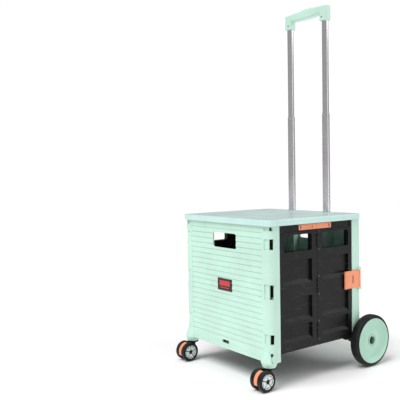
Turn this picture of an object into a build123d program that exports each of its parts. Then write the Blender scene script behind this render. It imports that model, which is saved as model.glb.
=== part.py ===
from build123d import *
import os
from math import cos, pi, sin

# Folding two-tray shopping cart with a telescopic handle, in millimetres.
# +Z is up, -Y is the front (caster side), +X is the side whose corner latch faces the viewer.
# The origin is on the floor, at the middle of the whole cart's plan.

os.makedirs("parts", exist_ok=True)

# ---- Box -----------------------------------------------------------------------------------
width = 360.0             # over the side walls of both trays
depth = 335.0             # front face of the front tray to back face of the rear tray
rim_z = 412.0             # top of both trays
front_depth = 30.0        # front tray, face to open edge
rear_depth = 39.0         # rear tray, face to open edge
face_wall = 4.0           # ribbed front face
wall = 3.4                # every other tray wall
corner_round = 15.0       # upright outer corners of the trays
rib_pitch = 14.4
rib_step = 1.6
plain_side = 32.0         # smooth column beside the ribbed field
hand_wide = 96.0          # handholds in both trays
hand_high = 40.0
hand_drop = 37.0          # top of a handhold under the rim

# ---- Side leaves and their hinges ------------------------------------------------------------
leaf_thick = 14.0
leaf_recess = 1.0         # leaf's outer face inside the trays' outer face
leaf_top_gap = 4.5        # leaf's top edge under the rim
tray_gap = 0.6            # between a tray's edge and a leaf
pivot_inset = 11.0        # corner hinge behind the tray's edge
seam_proud = 0.3          # seam hinge outside the leaf's outer face
seam_gap = 0.8            # between the two leaves of a side
corner_knuckle_r = 4.5
corner_pin_r = 2.0
seam_knuckle_r = 2.2
seam_pin_r = 1.0
pin_play = 0.05           # radial play of a turning hinge
pin_fit = 0.02            # radial play of a pin in the piece that holds it
open_play = 0.30          # radial play at the hinge that closes the linkage
knuckle_gap = 0.4         # along a pin, between knuckles
finger_long = 28.0        # corner hinge finger of a leaf
lug_long = 9.0            # corner hinge lug of a tray
top_hinge_drop = 50.0     # under the leaf's top
low_hinge_rise = 39.0     # over the leaf's bottom
seam_finger = 12.0
corner_rail = 13.5        # leaf frame beside the corner
seam_rail = 19.5          # leaf frame beside the seam
window_drop = 31.5        # leaf's top to its window
window_high = 42.0
panel_drop = 22.0         # window to the first sunk panel
panel_gaps = (34.0, 10.0)
low_panel_high = 41.0
bottom_rail = 23.0
panel_sink = 7.0
ledge_high = 9.0
inner_sink = 4.0

# ---- Slide locks in the side leaves ------------------------------------------------------------
lock_front = 65.0         # lock case ahead of the seam
lock_rear = 53.0          # keeper behind the seam
lock_drop = 7.0           # leaf's top to the lock
lock_high = 14.5
lock_deep = 6.0
lock_play = 0.25
bolt_long = 50.0
bolt_high = 8.6
bolt_thick = 2.6
bolt_travel = 20.0

# ---- Wheels and casters ------------------------------------------------------------------------
wheel_radius = 70.0
wheel_thick = 28.0
rim_radius = 62.5
wheel_gap = 4.0           # tray's side wall to the wheel
axle_radius = 4.0
axle_play = 0.05
axle_behind = 12.0        # axle behind the rear tray's back face
caster_radius = 26.0
caster_hub_r = 19.0
caster_trail = 22.0
caster_wheel_thick = 13.6
caster_split = 12.4       # between the twin wheels
caster_pin_r = 3.0
stem_radius = 5.0
stem_side = 18.5          # stem inside the tray's side face
stem_front = 8.0          # stem behind the tray's front face
cup_radius = 16.5
cup_height = 11.0
cup_flare = 26.0          # height of the cup's shoulder on the tray's face
cup_tyre_gap = 3.0        # caster tyre to the cup

# ---- Floor panel --------------------------------------------------------------------------------
floor_thick = 7.0
floor_skin = 2.6
floor_clear = 1.0         # floor under the leaves
floor_side_gap = 22.0     # tray's side face to the floor's edge
floor_axle_gap = 3.0      # floor over the axle
floor_back_gap = 8.0      # floor's back edge to the rear tray's bottom wall
floor_pin_r = 1.5
floor_knuckle = 40.0
floor_lug = 8.0
floor_lug_x = 41.6        # nearest lug beside the middle
rest_play = 0.25

# ---- Handle --------------------------------------------------------------------------------------
tube_spacing = 138.0
guide_leaf_gap = 1.3      # handle guide to a folded leaf
upper_r = 9.1
tube_wall = 1.2
tube_play = 0.3
lower_reach = 276.0       # travel of the lower stage
upper_reach = 256.0       # travel of the upper stage
stage_overlap = 42.0      # of an extended stage in the next
collar_high = 3.0
stage_collar = 5.0
grip_leg = 2 * (upper_r + 3.9)
grip_deep = 2 * (upper_r + 2.6)
grip_rise = 45.0          # lower end of a leg to the top of the grip
grip_bar = 19.0
grip_bow = 4.0
button_long = 46.0
button_wide = 12.0
button_travel = 4.0

# ---- Lid ------------------------------------------------------------------------------------------
lid_plate = 5.0
lid_skirt = 10.0          # skirt under the plate
lid_skirt_wall = 2.9
lid_side_play = 2.6       # skirt outside the tray
lid_back_inset = 2.0      # back edge ahead of the rear tray's back face
lid_round = 18.0
lid_rib_sink = 3.0

# ---- Corner latches --------------------------------------------------------------------------------
latch_low_z = 217.0
latch_high = 47.0
latch_long = 58.0
latch_thick = 3.2
latch_pin_r = 1.5
latch_barrel_r = 3.0
latch_gap = 0.8           # tray's side to the latch

# ---- Heights and places that follow ------------------------------------------------------------------
half_w = width / 2
axle_z = wheel_radius
floor_low_z = axle_z + axle_radius + floor_axle_gap
floor_top_z = floor_low_z + floor_thick
side_base_z = floor_top_z + floor_clear
cup_low_z = 2 * caster_radius + cup_tyre_gap
front_base_z = cup_low_z + cup_height

caster_reach = caster_trail + caster_radius - stem_front
y_front = -(depth + axle_behind + wheel_radius - caster_reach) / 2
y_back = y_front + depth
y_front_edge = y_front + front_depth
y_rear_edge = y_back - rear_depth
y_axle = y_back + axle_behind

leaf_out_x = half_w - leaf_recess
leaf_in_x = leaf_out_x - leaf_thick
pivot_x = leaf_in_x
front_pivot_y = y_front_edge - pivot_inset
rear_pivot_y = y_rear_edge + pivot_inset
seam_x = leaf_out_x + seam_proud
seam_y = (front_pivot_y + rear_pivot_y) / 2
leaf_top_z = rim_z - leaf_top_gap
top_hinge_z = leaf_top_z - top_hinge_drop
low_hinge_z = side_base_z + low_hinge_rise
hinge_heights = (top_hinge_z, (top_hinge_z + low_hinge_z) / 2, low_hinge_z)
window_high_z = leaf_top_z - window_drop
window_low_z = window_high_z - window_high
lock_top_z = leaf_top_z - lock_drop
lock_low_z = lock_top_z - lock_high

lower_in_r = upper_r + tube_play
lower_r = lower_in_r + tube_wall
guide_in_r = lower_r + tube_play
guide_r = guide_in_r + tube_wall
tube_x = tube_spacing / 2
tube_y = rear_pivot_y + guide_r + guide_leaf_gap
collar_top_z = rim_z + collar_high
lower_top_z = collar_top_z + 1.0 + lower_reach
lower_low_z = rim_z - stage_overlap
upper_low_z = lower_top_z - stage_overlap
grip_low_z = lower_top_z + stage_collar + 4.0 + upper_reach
grip_top_z = grip_low_z + grip_rise

floor_half = half_w - floor_side_gap
hinge_y = y_front + face_wall + 1.5 + floor_thick / 2
hinge_z = floor_low_z + floor_thick / 2
floor_back_y = y_rear_edge + floor_back_gap
stem_x = half_w - stem_side
stem_y = y_front + stem_front
wheel_in_x = half_w + wheel_gap
wheel_out_x = wheel_in_x + wheel_thick
latch_pin_x = half_w + latch_barrel_r + 0.3
latch_pin_y = y_back - 12
caster_y = stem_y - caster_trail


# ---- Shapes used in many pieces -----------------------------------------------------------------------
def block(x, y, z, mode=Mode.ADD):
    """A box between two places on each axis."""
    with Locations(((x[0] + x[1]) / 2, (y[0] + y[1]) / 2, (z[0] + z[1]) / 2)):
        Box(abs(x[1] - x[0]), abs(y[1] - y[0]), abs(z[1] - z[0]), mode=mode)


def upright(x, y, z, radius, mode=Mode.ADD):
    """A cylinder along Z between two heights."""
    with Locations((x, y, (z[0] + z[1]) / 2)):
        Cylinder(radius, z[1] - z[0], mode=mode)


def crosswise(x, y, z, radius, mode=Mode.ADD):
    """A cylinder along X between two places."""
    with Locations(Location(((x[0] + x[1]) / 2, y, z), (0, 90, 0))):
        Cylinder(radius, x[1] - x[0], mode=mode)


def wall_hole(y, x, z, radius):
    """A round-cornered opening cut along Y through a wall between two places."""
    with BuildSketch(Plane.XZ.offset(-y[1])) as opening:
        with Locations(((x[0] + x[1]) / 2, (z[0] + z[1]) / 2)):
            RectangleRounded(x[1] - x[0], z[1] - z[0], radius)
    extrude(opening.sketch, amount=y[1] - y[0], mode=Mode.SUBTRACT)


def side_hole(x, y, z, radius):
    """A round-cornered opening cut along X through a wall between two places."""
    with BuildSketch(Plane.YZ.offset(x[0])) as opening:
        with Locations(((y[0] + y[1]) / 2, (z[0] + z[1]) / 2)):
            RectangleRounded(abs(y[1] - y[0]), z[1] - z[0], radius)
    extrude(opening.sketch, amount=x[1] - x[0], mode=Mode.SUBTRACT)


def tray_blank(y_face, y_edge, low_z, face_thick):
    """A shallow tray on its side: a face, two side walls, a top and a bottom wall."""
    inward = 1 if y_edge > y_face else -1
    rounded = 0 if inward > 0 else -1
    with BuildSketch(Plane.XY.offset(low_z)) as outline:
        with Locations((0, (y_face + y_edge) / 2)):
            Rectangle(width, abs(y_edge - y_face))
        fillet(outline.vertices().group_by(Axis.Y)[rounded], corner_round)
    extrude(outline.sketch, amount=rim_z - low_z)
    inner_y = y_face + inward * face_thick
    open_y = y_edge + inward
    with BuildSketch(Plane.XY.offset(low_z + wall)) as room:
        with Locations((0, (inner_y + open_y) / 2)):
            Rectangle(width - 2 * wall, abs(open_y - inner_y))
        fillet(room.vertices().group_by(Axis.Y)[rounded], corner_round - wall)
    extrude(room.sketch, amount=rim_z - low_z - 2 * wall, mode=Mode.SUBTRACT)


def corner_lugs(pivot_y):
    """Lugs on a tray's side walls that hold the corner hinge pins."""
    reach = finger_long / 2 + knuckle_gap
    for side in (-1, 1):
        for height in hinge_heights:
            for low, high in ((height - reach - lug_long, height - reach),
                              (height + reach, height + reach + lug_long)):
                upright(side * pivot_x, pivot_y, (low, high), corner_knuckle_r)
                block((side * pivot_x, side * (half_w - wall / 2)),
                      (pivot_y - corner_knuckle_r, pivot_y + corner_knuckle_r), (low, high))
        upright(side * pivot_x, pivot_y, (side_base_z, rim_z - wall), corner_pin_r + pin_fit,
                mode=Mode.SUBTRACT)


# ---- Front tray ------------------------------------------------------------------------------------------
rib_low_z = front_base_z + 18.0
rib_count = int((rim_z - 12.0 - rib_low_z) / rib_pitch)


def lapped_ribs(y_face, inward, first, fields):
    """Horizontal laps, each leaning in towards its top, cut into an outer face between pairs of X places."""
    out_y = y_face - inward
    for x0, x1 in fields:
        with BuildSketch(Plane.YZ.offset(x0)) as laps:
            for i in range(first, rib_count):
                low = rib_low_z + i * rib_pitch
                Polygon((out_y, low + 0.6), (y_face, low + 0.6), (y_face + inward * rib_step, low + rib_pitch),
                        (out_y, low + rib_pitch), align=None)
        extrude(laps.sketch, amount=x1 - x0, mode=Mode.SUBTRACT)


badge_wide = 60.0
badge_high = 32.0
badge_z = (rim_z + front_base_z) / 2 - 2.0
badge_sink = rib_step + 0.2

with BuildPart() as front_panel:
    tray_blank(y_front, y_front_edge, front_base_z, face_wall)
    lapped_ribs(y_front, 1, 0, [(plain_side - half_w, half_w - plain_side)])
    wall_hole((y_front - 1, y_front + face_wall + 1), (-hand_wide / 2, hand_wide / 2),
              (rim_z - hand_drop - hand_high, rim_z - hand_drop), 5)
    wall_hole((y_front - 1, y_front + badge_sink), (-badge_wide / 2, badge_wide / 2),
              (badge_z - badge_high / 2, badge_z + badge_high / 2), 2)
    wall_hole((y_front - 1, y_front + face_wall + 1), (-14, 14), (hinge_z - 1, hinge_z + 8), 1.5)
    # hinge pockets: a shallow seat on the face and an opening round the corner
    for side in (-1, 1):
        for height, long in zip(hinge_heights, (26.0, 36.0, 24.0)):
            reach = (height - long / 2, height + long / 2)
            block((side * (half_w - 24), side * (half_w - 9)), (y_front - 1, y_front + 2.4), reach,
                  mode=Mode.SUBTRACT)
            block((side * (half_w - 9), side * (half_w + 1)), (y_front - 1, y_front + 12), reach,
                  mode=Mode.SUBTRACT)
        for height in (rim_z - 17, front_base_z + 19.5):
            reach = (height - 4.5, height + 4.5)
            block((side * (half_w - 24), side * (half_w - 13)), (y_front - 1, y_front + 2.4), reach,
                  mode=Mode.SUBTRACT)
            block((side * (half_w - 9), side * (half_w + 1)), (y_front - 1, y_front + 9), reach,
                  mode=Mode.SUBTRACT)
    corner_lugs(front_pivot_y)
    # lugs for the floor's hinge rod
    for side in (-1, 1):
        for near in (floor_lug_x, floor_lug_x + floor_lug + floor_knuckle + 2 * knuckle_gap):
            x = (side * near, side * (near + floor_lug))
            crosswise((min(x), max(x)), hinge_y, hinge_z, 3.9)
            block(x, (y_front + face_wall - 0.5, hinge_y), (hinge_z - 3.9, hinge_z + 3.9))
    crosswise((-half_w + 30, half_w - 30), hinge_y, hinge_z, floor_pin_r + pin_fit, mode=Mode.SUBTRACT)
front_panel.part.label = "front_panel"
export_step(front_panel.part, "parts/front_panel.step")

with BuildPart() as badge_plate:
    block((-badge_wide / 2 + 0.2, badge_wide / 2 - 0.2), (y_front - 0.4, y_front + badge_sink),
          (badge_z - badge_high / 2 + 0.2, badge_z + badge_high / 2 - 0.2))
    fillet(badge_plate.edges().filter_by(Axis.Y), 1.8)
badge_plate.part.label = "badge_plate"
export_step(badge_plate.part, "parts/badge_plate.step")

with BuildPart() as floor_hinge_rod:
    end_x = floor_lug_x + 2 * floor_lug + floor_knuckle + 2 * knuckle_gap
    crosswise((-end_x, end_x), hinge_y, hinge_z, floor_pin_r)
floor_hinge_rod.part.label = "floor_hinge_rod"
export_step(floor_hinge_rod.part, "parts/floor_hinge_rod.step")

# ---- Rear tray, with the lower ends of the handle ------------------------------------------------------------
with BuildPart() as rear_panel:
    tray_blank(y_back, y_rear_edge, side_base_z, wall)
    # the bottom wall starts behind the folded leaves
    block((-pivot_x - 0.3, pivot_x + 0.3), (y_rear_edge - 1, rear_pivot_y + 0.8),
          (side_base_z - 1, side_base_z + wall + 0.5), mode=Mode.SUBTRACT)
    # laps outside, between the plain bands over the handle guides, and thin ribs inside
    band = (tube_x - guide_r - 3, tube_x + guide_r + 5)
    lapped_ribs(y_back, -1, 2, [(plain_side - half_w, -band[1]), (-band[0], band[0]),
                                (band[1], half_w - plain_side)])
    for i in range(2, rib_count):
        level = rib_low_z + i * rib_pitch
        block((wall - half_w, half_w - wall), (y_back - wall - 1.2, y_back - wall + 0.4), (level, level + 1.4))
    wall_hole((y_back - wall - 2, y_back + 1), (-hand_wide / 2, hand_wide / 2),
              (rim_z - hand_drop - hand_high, rim_z - hand_drop), 5)
    # webs beside each handle guide
    for side in (-1, 1):
        for offset in (-1, 1):
            web = side * tube_x + offset * (guide_r + 1.4)
            block((web - 1.2, web + 1.2), (tube_y - guide_r + 2, y_back - wall / 2),
                  (side_base_z + wall / 2, rim_z - wall / 2))
        upright(side * tube_x, tube_y, (side_base_z + wall, rim_z + 1), guide_r + pin_fit, mode=Mode.SUBTRACT)
    corner_lugs(rear_pivot_y)
    # ears for the latch pins
    for side in (-1, 1):
        for low in (latch_low_z - 6.4, latch_low_z + latch_high + 0.4):
            block((side * (half_w - 1), side * (latch_pin_x + latch_barrel_r)),
                  (latch_pin_y - 5, latch_pin_y + 5), (low, low + 6))
        upright(side * latch_pin_x, latch_pin_y, (latch_low_z - 8, latch_low_z + latch_high + 8),
                latch_pin_r + pin_fit, mode=Mode.SUBTRACT)
rear_panel.part.label = "rear_panel"
export_step(rear_panel.part, "parts/rear_panel.step")

for name, side in (("left", -1), ("right", 1)):
    with BuildPart() as handle_guide:
        upright(side * tube_x, tube_y, (side_base_z + wall, rim_z), guide_r)
        upright(side * tube_x, tube_y, (side_base_z, rim_z + 1), guide_in_r, mode=Mode.SUBTRACT)
    handle_guide.part.label = f"handle_guide_{name}"
    export_step(handle_guide.part, f"parts/handle_guide_{name}.step")

with BuildPart() as guide_collars:
    for side in (-1, 1):
        upright(side * tube_x, tube_y, (rim_z, collar_top_z), guide_r + 2.2)
        upright(side * tube_x, tube_y, (rim_z - 1, collar_top_z + 1), guide_in_r, mode=Mode.SUBTRACT)
guide_collars.part.label = "guide_collars"
export_step(guide_collars.part, "parts/guide_collars.step")

# ---- Corner hinge pins -----------------------------------------------------------------------------------------
pin_reach = finger_long / 2 + knuckle_gap + lug_long
for name, pivot_y in (("front", front_pivot_y), ("rear", rear_pivot_y)):
    with BuildPart() as corner_pins:
        for side in (-1, 1):
            upright(side * pivot_x, pivot_y, (low_hinge_z - pin_reach, top_hinge_z + pin_reach), corner_pin_r)
    corner_pins.part.label = f"{name}_hinge_pins"
    export_step(corner_pins.part, f"parts/{name}_hinge_pins.step")


# ---- Side leaves ---------------------------------------------------------------------------------------------------
def seam_knuckles(height, own):
    """Heights of the seam hinge's knuckles that belong to the rear leaf, or to the front one."""
    step = seam_finger + knuckle_gap
    places = (-1, 1) if own == "rear" else (0,)
    return [(height + i * step - seam_finger / 2, height + i * step + seam_finger / 2) for i in places]


def side_leaf(pivot_y, inward, own, other, corner_play):
    """A leaf of the +X side: frame, window, three sunk panels, lock seat and hinge knuckles."""
    edge_y = pivot_y + inward * (pivot_inset + tray_gap)
    seam_edge_y = seam_y - inward * seam_gap / 2
    opening = sorted((edge_y + inward * corner_rail, seam_edge_y - inward * seam_rail))
    with BuildPart() as leaf:
        block((leaf_in_x, leaf_out_x), (edge_y, seam_edge_y), (side_base_z, leaf_top_z))
        side_hole((leaf_in_x - 1, leaf_out_x + 1), opening, (window_low_z, window_high_z), 4)
        # sunk panels, each with a sloping lower ledge, hollowed from inside
        top = window_low_z - panel_drop
        low = side_base_z + bottom_rail
        tall = (top - low - sum(panel_gaps) - low_panel_high) / 2
        for high, gap in ((tall, panel_gaps[0]), (tall, panel_gaps[1]), (low_panel_high, 0)):
            base = top - high
            with BuildSketch(Plane.XZ.offset(-opening[1])):
                Polygon((leaf_out_x + 1, top), (leaf_out_x - panel_sink, top),
                        (leaf_out_x - panel_sink, base + ledge_high), (leaf_out_x, base),
                        (leaf_out_x + 1, base), align=None)
            extrude(amount=opening[1] - opening[0], mode=Mode.SUBTRACT)
            block((leaf_in_x - 1, leaf_in_x + inner_sink), (opening[0] + 4, opening[1] - 4),
                  (base + ledge_high + 2, top - 3), mode=Mode.SUBTRACT)
            top = base - gap
        # rail for the slide lock, and the lock's seat
        block((leaf_out_x - 2, leaf_out_x + 1), (edge_y + inward * 7, seam_edge_y + inward),
              (lock_low_z - 3, lock_top_z + 1), mode=Mode.SUBTRACT)
        reach = lock_front if own == "front" else lock_rear
        block((leaf_out_x - lock_deep, leaf_out_x + 1), (seam_y - inward * reach, seam_edge_y + inward),
              (lock_low_z, lock_top_z), mode=Mode.SUBTRACT)
        # corner hinge fingers
        for height in hinge_heights:
            span = (height - finger_long / 2, height + finger_long / 2)
            upright(pivot_x, pivot_y, span, corner_knuckle_r)
            block((pivot_x - 3, pivot_x + corner_knuckle_r), (pivot_y, edge_y + inward * 6), span)
        upright(pivot_x, pivot_y, (side_base_z, leaf_top_z), corner_pin_r + corner_play, mode=Mode.SUBTRACT)
        # seam hinge knuckles
        for height in hinge_heights:
            for span in seam_knuckles(height, other):
                upright(seam_x, seam_y, (span[0] - knuckle_gap, span[1] + knuckle_gap),
                        seam_knuckle_r + 0.4, mode=Mode.SUBTRACT)
            for span in seam_knuckles(height, own):
                upright(seam_x, seam_y, span, seam_knuckle_r)
                block((leaf_out_x - 2.5, seam_x), (seam_y, seam_edge_y - inward * 1.5), span)
            bore = seam_pin_r + (pin_fit if own == "rear" else pin_play)
            upright(seam_x, seam_y, (height - 20, height + 20), bore, mode=Mode.SUBTRACT)
    return leaf.part


front_right = side_leaf(front_pivot_y, 1, "front", "rear", pin_play)
rear_right = side_leaf(rear_pivot_y, -1, "rear", "front", pin_play)
front_left = mirror(side_leaf(front_pivot_y, 1, "front", "rear", open_play), about=Plane.YZ)
rear_left = mirror(rear_right, about=Plane.YZ)
for name, leaf in (("front_leaf_right", front_right), ("rear_leaf_right", rear_right),
                   ("front_leaf_left", front_left), ("rear_leaf_left", rear_left)):
    leaf.label = name
    export_step(leaf, f"parts/{name}.step")

for name, side in (("left", -1), ("right", 1)):
    with BuildPart() as seam_pins:
        for height in hinge_heights:
            half = 1.5 * seam_finger + knuckle_gap
            upright(side * seam_x, seam_y, (height - half, height + half), seam_pin_r)
    seam_pins.part.label = f"seam_pins_{name}"
    export_step(seam_pins.part, f"parts/seam_pins_{name}.step")

# ---- Slide locks ------------------------------------------------------------------------------------------------------
case_y = (seam_y - lock_front + lock_play, seam_y - seam_gap / 2)
keeper_y = (seam_y + seam_gap / 2, seam_y + lock_rear - lock_play)
lock_z = (lock_low_z + lock_play, lock_top_z - lock_play)
lock_x = (leaf_out_x - lock_deep + lock_play, leaf_out_x - 0.2)
lock_mid_z = (lock_low_z + lock_top_z) / 2
bolt_x = (lock_x[0] + 1.2, lock_x[0] + 1.2 + bolt_thick)
bolt_y = (case_y[1] - 1 - bolt_long, case_y[1] - 1)
bolt_z = (lock_mid_z - bolt_high / 2, lock_mid_z + bolt_high / 2)
tab_z = (lock_mid_z - 3.4, lock_mid_z + 3.4)
tab_y = (bolt_y[0] + 3, bolt_y[0] + 17)

with BuildPart() as lock_case:
    block(lock_x, case_y, lock_z)
    block((bolt_x[0] - 0.3, bolt_x[1] + 0.3), (bolt_y[0] - 0.4, case_y[1] + 1),
          (bolt_z[0] - 0.3, bolt_z[1] + 0.3), mode=Mode.SUBTRACT)
    block((bolt_x[1], lock_x[1] + 1), (tab_y[0] - 0.4, tab_y[1] + bolt_travel + 0.4),
          (tab_z[0] - 0.4, tab_z[1] + 0.4), mode=Mode.SUBTRACT)
    block((lock_x[1] - 0.8, lock_x[1] + 1), (case_y[0] + 5, case_y[0] + 8),
          (lock_z[0] + 2, lock_z[1] - 2), mode=Mode.SUBTRACT)

with BuildPart() as lock_bolt:
    block(bolt_x, bolt_y, bolt_z)
    block((bolt_x[1] - 0.5, lock_x[1]), tab_y, tab_z)

with BuildPart() as lock_keeper:
    block(lock_x, keeper_y, lock_z)
    block((bolt_x[0] - 0.3, bolt_x[1] + 0.3), (keeper_y[0] - 1, keeper_y[0] + bolt_travel + 1),
          (bolt_z[0] - 0.3, bolt_z[1] + 0.3), mode=Mode.SUBTRACT)
    block((lock_x[1] - 0.8, lock_x[1] + 1), (keeper_y[1] - 9, keeper_y[1] - 6),
          (lock_z[0] + 2, lock_z[1] - 2), mode=Mode.SUBTRACT)

for name, piece in (("lock_case", lock_case.part), ("lock_bolt", lock_bolt.part),
                    ("lock_keeper", lock_keeper.part)):
    right_piece = piece
    right_piece.label = f"{name}_right"
    export_step(right_piece, f"parts/{name}_right.step")
    left_piece = mirror(piece, about=Plane.YZ)
    left_piece.label = f"{name}_left"
    export_step(left_piece, f"parts/{name}_left.step")

# ---- Floor panel, hinged at the front tray --------------------------------------------------------------------------------
with BuildPart() as floor_panel:
    floor_front_y = hinge_y + 4.5
    block((-floor_half, floor_half), (floor_front_y, floor_back_y), (floor_low_z, floor_top_z))
    fillet(floor_panel.edges().filter_by(Axis.Z).group_by(Axis.Y)[-1], 6)
    # square pockets under the skin leave a grid of ribs
    cells_x = 8
    cells_y = 7
    pitch_x = (2 * floor_half - 8) / cells_x
    pitch_y = (floor_back_y - floor_front_y - 16) / cells_y
    pocket = floor_thick - floor_skin
    with Locations((0, (floor_front_y + floor_back_y) / 2, floor_low_z + pocket / 2)):
        with GridLocations(pitch_x, pitch_y, cells_x, cells_y):
            Box(pitch_x - 2.4, pitch_y - 2.4, pocket, mode=Mode.SUBTRACT)
    for side in (-1, 1):
        x = (side * (floor_lug_x + floor_lug + knuckle_gap), side * (floor_lug_x + floor_lug + knuckle_gap + floor_knuckle))
        crosswise((min(x), max(x)), hinge_y, hinge_z, floor_thick / 2)
        block(x, (hinge_y, floor_front_y + 1), (floor_low_z, floor_top_z))
        crosswise((min(x) - 1, max(x) + 1), hinge_y, hinge_z, floor_pin_r + pin_play, mode=Mode.SUBTRACT)
floor_panel.part.label = "floor_panel"
export_step(floor_panel.part, "parts/floor_panel.step")

# ---- Lid -------------------------------------------------------------------------------------------------------------------
lid_half = half_w + lid_side_play + lid_skirt_wall
lid_front_y = y_front - lid_side_play - lid_skirt_wall
lid_back_y = y_back - lid_back_inset
lid_top_z = rim_z + lid_plate

with BuildPart() as lid:
    with BuildSketch(Plane.XY.offset(rim_z - lid_skirt)) as outline:
        with Locations((0, (lid_front_y + lid_back_y) / 2)):
            Rectangle(2 * lid_half, lid_back_y - lid_front_y)
        fillet(outline.vertices().group_by(Axis.Y)[0], lid_round)
        fillet(outline.vertices().group_by(Axis.Y)[-1], lid_round)
    extrude(amount=lid_skirt + lid_plate)
    fillet(lid.edges().group_by(Axis.Z)[-1], 2.4)
    with BuildSketch(Plane.XY.offset(rim_z - lid_skirt - 1)) as room:
        with Locations((0, (lid_front_y + lid_skirt_wall + lid_back_y + 1) / 2)):
            Rectangle(2 * (lid_half - lid_skirt_wall), lid_back_y + 1 - lid_front_y - lid_skirt_wall)
        fillet(room.vertices().group_by(Axis.Y)[0], lid_round - lid_skirt_wall)
    extrude(amount=lid_skirt + 1, mode=Mode.SUBTRACT)
    # notches round the handle
    for side in (-1, 1):
        upright(side * tube_x, tube_y, (rim_z - 1, lid_top_z + 1), guide_r + 3.2, mode=Mode.SUBTRACT)
        block((side * tube_x - guide_r - 3.2, side * tube_x + guide_r + 3.2), (tube_y, lid_back_y + 1),
              (rim_z - 1, lid_top_z + 1), mode=Mode.SUBTRACT)
    # pockets under the plate leave crossed ribs
    rib_cells_x = 5
    rib_cells_y = 4
    field_x = 2 * (half_w - 24)
    field_y = (y_front_edge + 6, y_rear_edge - 6)
    cell_x = field_x / rib_cells_x
    cell_y = (field_y[1] - field_y[0]) / rib_cells_y
    with BuildSketch(Plane.XY.offset(rim_z)):
        for i in range(rib_cells_x):
            for j in range(rib_cells_y):
                x = -field_x / 2 + (i + 0.5) * cell_x
                y = field_y[0] + (j + 0.5) * cell_y
                for turn in range(4):
                    far = (cell_x if turn % 2 == 0 else cell_y) / 2 - 1.2
                    near_side = (cell_y if turn % 2 == 0 else cell_x) / 2 - 3.0
                    direction = Vector(cos(turn * pi / 2), sin(turn * pi / 2))
                    across = Vector(-direction.Y, direction.X)
                    a = Vector(x, y) + direction * 3.0
                    b = Vector(x, y) + direction * far + across * near_side
                    c = Vector(x, y) + direction * far - across * near_side
                    Polygon((a.X, a.Y), (b.X, b.Y), (c.X, c.Y), align=None)
    extrude(amount=lid_rib_sink, mode=Mode.SUBTRACT)
lid.part.label = "lid"
export_step(lid.part, "parts/lid.step")

# ---- Axle, its brackets, spacers and nuts ----------------------------------------------------------------------------------------
bracket_x = (half_w - 20, half_w - 5)
nut_x = (wheel_out_x - 11, wheel_out_x - 5.5)

with BuildPart() as rear_axle:
    crosswise((-nut_x[1] - 1, nut_x[1] + 1), y_axle, axle_z, axle_radius)
rear_axle.part.label = "rear_axle"
export_step(rear_axle.part, "parts/rear_axle.step")

with BuildPart() as bracket:
    with BuildSketch(Plane.YZ.offset(bracket_x[0])) as side_view:
        with BuildLine():
            Polyline((y_rear_edge - 4, side_base_z - 0.4), (rear_pivot_y + 1, side_base_z - 0.4),
                     (rear_pivot_y + 1, side_base_z), (y_back + 0.05, side_base_z),
                     (y_back + 0.05, side_base_z + 34), (y_axle, side_base_z + 34),
                     (y_axle + 13, axle_z + 6), (y_axle + 11, axle_z - 9), (y_axle - 7, axle_z - 11),
                     (y_rear_edge + 8, axle_z - 4), (y_rear_edge - 4, floor_low_z + 1),
                     (y_rear_edge - 4, side_base_z - 0.4))
        make_face()
        fillet(side_view.vertices().group_by(Axis.X)[-1], 6)
    extrude(amount=bracket_x[1] - bracket_x[0])
    # lip under the floor's corner, and room for the floor beside the bracket
    block((floor_half - 9, bracket_x[0] + 1), (y_rear_edge - 3, floor_back_y),
          (floor_low_z - rest_play - 6, floor_low_z - rest_play))
    crosswise((bracket_x[0] - 1, bracket_x[1] + 1), y_axle, axle_z, axle_radius + pin_fit,
              mode=Mode.SUBTRACT)

with BuildPart() as spacer:
    crosswise((bracket_x[1] + 0.05, wheel_in_x - 0.3), y_axle, axle_z, 7)
    crosswise((bracket_x[1] - 1, wheel_in_x + 1), y_axle, axle_z, axle_radius + pin_fit, mode=Mode.SUBTRACT)

with BuildPart() as nut:
    with BuildSketch(Plane.YZ.offset(nut_x[0])):
        with Locations((y_axle, axle_z)):
            RegularPolygon(7, 6)
            Circle(axle_radius + pin_fit, mode=Mode.SUBTRACT)
    extrude(amount=nut_x[1] - nut_x[0])

axle_nuts = Compound(children=[nut.part, mirror(nut.part, about=Plane.YZ)])
axle_nuts.label = "axle_nuts"
export_step(axle_nuts, "parts/axle_nuts.step")
axle_spacers = Compound(children=[spacer.part, mirror(spacer.part, about=Plane.YZ)])
axle_spacers.label = "axle_spacers"
export_step(axle_spacers, "parts/axle_spacers.step")
for name, piece in (("axle_bracket_right", bracket.part),
                    ("axle_bracket_left", mirror(bracket.part, about=Plane.YZ))):
    piece.label = name
    export_step(piece, f"parts/{name}.step")

# ---- Big wheels -------------------------------------------------------------------------------------------------------------------
with BuildPart() as hub:
    with BuildSketch(Plane.XY.offset(axle_z)) as profile:
        with BuildLine():
            x0 = wheel_in_x
            x1 = wheel_out_x
            r = y_axle
            Polyline((x0 + 1, r), (x0 + 1, r + 17), (x0 + 9, r + 19), (x0 + 9, r + rim_radius - 7),
                     (x0 + 2, r + rim_radius - 4), (x0 + 2, r + rim_radius - 1.5), (x1 - 0.5, r + rim_radius - 1.5),
                     (x1 - 0.5, r + rim_radius - 5), (x1 - 6, r + rim_radius - 7), (x1 - 15, r + 26),
                     (x1 - 12, r + 14), (x1 - 4, r + 12), (x1 - 4, r + 9.5), (x1 - 12, r + 9.5), (x1 - 12, r),
                     (x0 + 1, r))
        make_face()
    revolve(axis=Axis((0, y_axle, axle_z), (1, 0, 0)))
    crosswise((wheel_in_x - 1, wheel_out_x + 1), y_axle, axle_z, axle_radius + axle_play, mode=Mode.SUBTRACT)

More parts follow.
